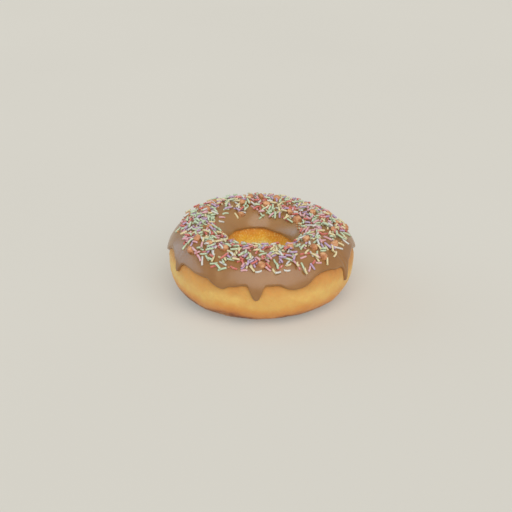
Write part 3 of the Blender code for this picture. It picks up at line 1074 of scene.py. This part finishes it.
def crust_bands(crust, in_hole):
    """The bands outside and in the hole, with painted shade and light, and the golden underside."""
    up_and_down = crust.maths("SUBTRACT", crust.noise(85, detail=3), 0.5)
    waver = crust.maths("MULTIPLY", up_and_down, CRUST_WAVER)
    tip = crust.maths("MULTIPLY", crust.maths("MINIMUM", crust.along("X"), 0.0), CRUST_TIP)
    shifted = crust.maths("ADD", crust.maths("ADD", crust.along("Z"), waver), tip)
    level = crust.spread(shifted, 0.0, CRUST_TOP)
    colour = crust.mix(in_hole, crust.ramp(level, CRUST_AND_SHADE_BANDS), crust.ramp(level, HOLE_AND_LIGHT_BANDS))
    further_in = crust.spread(crust.radius(), *UNDERSIDE_EDGE, to_low=1.0, to_high=0.0)
    low_down = crust.spread(crust.along("Z"), 0.0, UNDERSIDE_TOP, to_low=1.0, to_high=0.0)
    return crust.mix(crust.maths("MULTIPLY", further_in, low_down), colour, UNDERSIDE)


print("bands from the base up:", len(CRUST_AND_SHADE_BANDS), "outside and", len(HOLE_AND_LIGHT_BANDS), "in the hole")

# %% [markdown]
# No fried crust has one even colour in a band. Outside it has soft mottles of a centimetre or so,
# in the hole a coarse grain that is pale and dark, and everywhere blotches of a few millimetres
# and fine brown specks. Each is a noise of its own size, so that it can be made stronger or weaker
# alone. A thin sheen stands for its dry, finely pored skin, which catches the light where it turns
# away.

# %% Crust finish
MOTTLE = linear(216, 150, 76)
PALE_GRAIN = linear(255, 234, 148)
DARK_GRAIN = linear(212, 140, 50)
BLOTCH = linear(222, 150, 76)
BLOTCH_SHARE = 0.3
SPECK = linear(188, 114, 54)
SHEEN_WEIGHT = 0.18
SHEEN_ROUGHNESS = 0.5
SHEEN_TINT = linear(255, 232, 196)


def crust_finish():
    """Golden fried dough."""
    crust = Finish("fried_crust", roughness=0.6, specular=0.35)
    in_hole = crust.spread(crust.radius(), *HOLE_EDGE, to_low=1.0, to_high=0.0)
    outside = crust.maths("SUBTRACT", 1.0, in_hole)
    colour = crust_bands(crust, in_hole)
    mottle = crust.spread(crust.noise(62, distortion=0.6), 0.44, 0.62, to_high=0.3)
    colour = crust.mix(crust.maths("MULTIPLY", mottle, outside), colour, MOTTLE)
    grain = crust.noise(1050, roughness=0.6)
    pale = crust.spread(grain, 0.52, 0.66, to_high=0.5)
    colour = crust.mix(crust.maths("MULTIPLY", pale, in_hole), colour, PALE_GRAIN)
    dark = crust.spread(grain, 0.34, 0.48, to_low=0.45, to_high=0.0)
    colour = crust.mix(crust.maths("MULTIPLY", dark, in_hole), colour, DARK_GRAIN)
    blotch = crust.spread(crust.noise(230, detail=4, roughness=0.6), 0.38, 0.68)
    colour = crust.mix(blotch, colour, crust.mix(BLOTCH_SHARE, colour, BLOTCH))
    specks = crust.spread(crust.noise(1300, detail=3, roughness=0.7), 0.58, 0.74, to_high=0.3)
    crust.set("Base Color", crust.mix(specks, colour, SPECK))
    dryness = crust.noise(300, detail=3)
    crust.set("Roughness", crust.spread(dryness, 0.3, 0.7, to_low=0.52, to_high=0.72))
    crust.set("Sheen Weight", SHEEN_WEIGHT)
    crust.set("Sheen Roughness", SHEEN_ROUGHNESS)
    crust.set("Sheen Tint", SHEEN_TINT)
    pores = crust.maths("ADD", crust.noise(700, detail=4, roughness=0.6), crust.noise(2200))
    crust.bump(pores, depth=0.12 * MM)
    crust.glow_under(weight=0.12, depth=1.5 * MM, tint=(1.0, 0.5, 0.2))
    return crust


crust_finish().wear(dough)

# %% [markdown]
# ### Milk chocolate frosting
#
# Set frosting is smooth with a soft gloss, so its highlights are broad and dim: a rough base under
# a weak coat that is a little smoother. It dries unevenly, which shows as slightly paler and duller
# clouds a centimetre or two wide. Towards the hole it is paler, partly as it ran thinner there and
# partly as a painted sheen on the slopes into the hole, and the distance from the ring's axis is
# enough to say where. A texture painted by hand would do no more.

# %% Frosting finish
CHOCOLATE = linear(147, 101, 53)
CHOCOLATE_CLOUD = linear(157, 112, 64)
# Paler towards the hole: partly thinner frosting, partly a painted sheen on the slopes into it.
THIN_CHOCOLATE_AND_SHEEN = linear(172, 132, 80)
THIN_AND_SHEEN_RADII = (20 * MM, 30 * MM)
THIN_AND_SHEEN_SHARE = 0.35
COCOA_GRAIN = linear(136, 90, 44)
COAT_WEIGHT = 0.45
COAT_ROUGHNESS = 0.24


def frosting_finish():
    """Set milk chocolate frosting."""
    icing = Finish("milk_chocolate_frosting", roughness=0.34, specular=0.45)
    clouds = icing.spread(icing.noise(70, detail=3, distortion=0.6), 0.35, 0.68)
    colour = icing.mix(clouds, CHOCOLATE, CHOCOLATE_CLOUD)
    # Thinner frosting and a painted sheen, both paler towards the hole.
    thin_and_sheen = icing.spread(icing.radius(), *THIN_AND_SHEEN_RADII, to_low=THIN_AND_SHEEN_SHARE, to_high=0.0)
    colour = icing.mix(thin_and_sheen, colour, THIN_CHOCOLATE_AND_SHEEN)
    grain = icing.spread(icing.noise(1500, detail=3, roughness=0.6), 0.5, 0.75, to_high=0.2)
    icing.set("Base Color", icing.mix(grain, colour, COCOA_GRAIN))
    icing.set("Roughness", icing.spread(clouds, 0.0, 1.0, to_low=0.28, to_high=0.38))
    icing.set("Coat Weight", COAT_WEIGHT)
    icing.set("Coat Roughness", COAT_ROUGHNESS)
    ripples = icing.maths("ADD", icing.noise(260), icing.noise(1400, detail=3))
    icing.bump(ripples, depth=0.04 * MM)
    icing.glow_under(weight=0.08, depth=1.0 * MM, tint=(1.0, 0.6, 0.4))
    return icing


frosting_finish().wear(frosting)

# %% [markdown]
# ### Sugar strands and nuggets
#
# Sugar lets a little light through, so the pastel colours glow softly. Full transparency would be
# slow to render, and a little subsurface light looks the same on a rod a millimetre thick. Each
# colour has a paler, powdery second tone where strands rubbed on each other. The toffee has two
# tones as well, and is paler where it is freshly broken.

# %% Strand finishes
STRAND_COLOURS = {
    "mint": (190, 206, 171),
    "cream": (219, 205, 158),
    "coral": (204, 110, 98),
    "pink": (215, 164, 168),
    "lilac": (184, 155, 184),
    "white": (210, 208, 200),
}
POWDER = linear(246, 242, 236)


def strand_finish(colour_name):
    """Pressed sugar in one colour with paler rubbed places."""
    sugar = Finish(f"sugar_{colour_name}", roughness=0.45)
    rubbed = sugar.spread(sugar.noise(900, detail=3, roughness=0.6), 0.5, 0.75, to_high=0.45)
    sugar.set("Base Color", sugar.mix(rubbed, linear(*STRAND_COLOURS[colour_name]), POWDER))
    sugar.bump(sugar.noise(3500), depth=0.03 * MM)
    sugar.glow_under(weight=0.15, depth=0.6 * MM, tint=(1.0, 0.8, 0.7))
    return sugar


for colour_name, piece in strands.items():
    strand_finish(colour_name).wear(piece)

# %% Nugget finish
TOFFEE = linear(190, 126, 82)
FRESH_BREAK = linear(220, 170, 122)
DARK_TOFFEE = linear(144, 86, 52)


def nugget_finish():
    """Broken toffee: orange brown, paler where it is freshly broken."""
    toffee = Finish("crushed_toffee", roughness=0.5)
    broken = toffee.spread(toffee.noise(520, detail=4, roughness=0.6), 0.4, 0.66)
    dark = toffee.spread(toffee.noise(1600, detail=3, roughness=0.6), 0.55, 0.75, to_high=0.35)
    colour = toffee.mix(broken, TOFFEE, FRESH_BREAK)
    toffee.set("Base Color", toffee.mix(dark, colour, DARK_TOFFEE))
    toffee.bump(toffee.noise(2600, detail=3, roughness=0.6), depth=0.08 * MM)
    toffee.glow_under(weight=0.15, depth=0.8 * MM, tint=(1.0, 0.5, 0.3))
    return toffee


nugget_finish().wear(nuggets)

# %% [markdown]
# ## Floor
#
# The picture is a bright, even product shot on a pale ground. The floor could curve up behind the
# ring, as a studio's paper does, but the camera looks down and never sees where it ends, so a wide
# plane is enough. It glows a little of itself, which keeps the shadows on it pale.

# %% Floor
FLOOR_SIZE = 60.0
FLOOR_COLOURS = (linear(178, 174, 165), linear(176, 172, 163))
FLOOR_GLOW = linear(134, 131, 124)


def make_floor():
    """A plain pale floor."""
    deselect_all()
    bpy.ops.mesh.primitive_plane_add(size=FLOOR_SIZE)
    floor = bpy.context.object
    floor.name = "floor"
    paper = Finish("pale_floor", roughness=0.9, specular=0.0)
    tone = paper.spread(paper.noise(3), 0.3, 0.7)
    paper.set("Base Color", paper.mix(tone, *FLOOR_COLOURS))
    paper.set("Emission Color", FLOOR_GLOW)
    paper.set("Emission Strength", 1.0)
    paper.wear(floor)


make_floor()

# %% [markdown]
# ## Light
#
# A pale sky lights everything a little. Softboxes close by could do the rest, but their light falls
# off across the floor. A very broad sun from the front right lights it evenly instead. Its width
# makes the shadows soft and its mirror image in the frosting a wide pale sheen, and from there it
# also reaches the far wall of the hole. A large cool panel like a window on the left gives the
# bluish sheens there. It stands far off, so that it lights the floor evenly too.

# %% Light
SKY_COLOUR = (1.0, 0.99, 0.97, 1.0)
SKY_STRENGTH = 0.46
SUN_TILT = (40, 14)  # degrees from overhead to the front and to the right
SUN_STRENGTH = 2.05
SUN_SOFTNESS = 78.0  # degrees across, where the real sun has half a degree
PANEL_PLACE = (-10.4, 3.6, 4.0)
PANEL_SIZE = (13.6, 7.2)
PANEL_POWER = 480.0
PANEL_COLOUR = (0.44, 0.75, 1.0)


def make_sky():
    """An even pale sky."""
    world = bpy.data.worlds.new("studio_sky")
    world.use_nodes = True
    back = world.node_tree.nodes["Background"]
    back.inputs["Color"].default_value = SKY_COLOUR
    back.inputs["Strength"].default_value = SKY_STRENGTH
    bpy.context.scene.world = world


def make_sun():
    """A broad sun from the front right."""
    deselect_all()
    forward, sideways = (math.radians(tilt) for tilt in SUN_TILT)
    bpy.ops.object.light_add(type="SUN", rotation=(forward, sideways, 0))
    sun = bpy.context.object
    sun.name = "broad_sun"
    sun.data.energy = SUN_STRENGTH
    sun.data.angle = math.radians(SUN_SOFTNESS)


def make_panel():
    """A soft cool panel that faces the ring."""
    deselect_all()
    bpy.ops.object.light_add(type="AREA", location=PANEL_PLACE)
    panel = bpy.context.object
    panel.name = "window_panel"
    panel.rotation_euler = (-Vector(PANEL_PLACE)).to_track_quat("-Z", "Y").to_euler()
    panel.data.shape = "RECTANGLE"
    panel.data.size, panel.data.size_y = PANEL_SIZE
    panel.data.energy = PANEL_POWER
    panel.data.color = PANEL_COLOUR


make_sky()
make_sun()
make_panel()
bpy.context.scene.view_settings.view_transform = "Standard"

# %% [markdown]
# ## Camera
#
# A camera's pitch, distance and lens change the picture together, so trying them one by one takes
# long. These were worked out together from the ring's outline: how flat its oval is gives the
# pitch, how much wider its near half is gives the distance, and its width then gives the lens.

# %% Camera
CAMERA_PLACE = (-2.6 * MM, -426.4 * MM, 230.5 * MM)
CAMERA_PITCH_DOWN = 26.75
LENS = 67.15
SENSOR_WIDTH = 36


def make_camera():
    """A camera in front of the ring that looks down at it."""
    tilt = math.radians(90 - CAMERA_PITCH_DOWN)
    bpy.ops.object.camera_add(location=CAMERA_PLACE, rotation=(tilt, 0, 0))
    camera = bpy.context.object
    camera.data.lens = LENS
    camera.data.sensor_width = SENSOR_WIDTH
    bpy.context.scene.camera = camera


make_camera()
print(f"camera {Vector(CAMERA_PLACE).length / MM:.0f} mm from the ring's base")
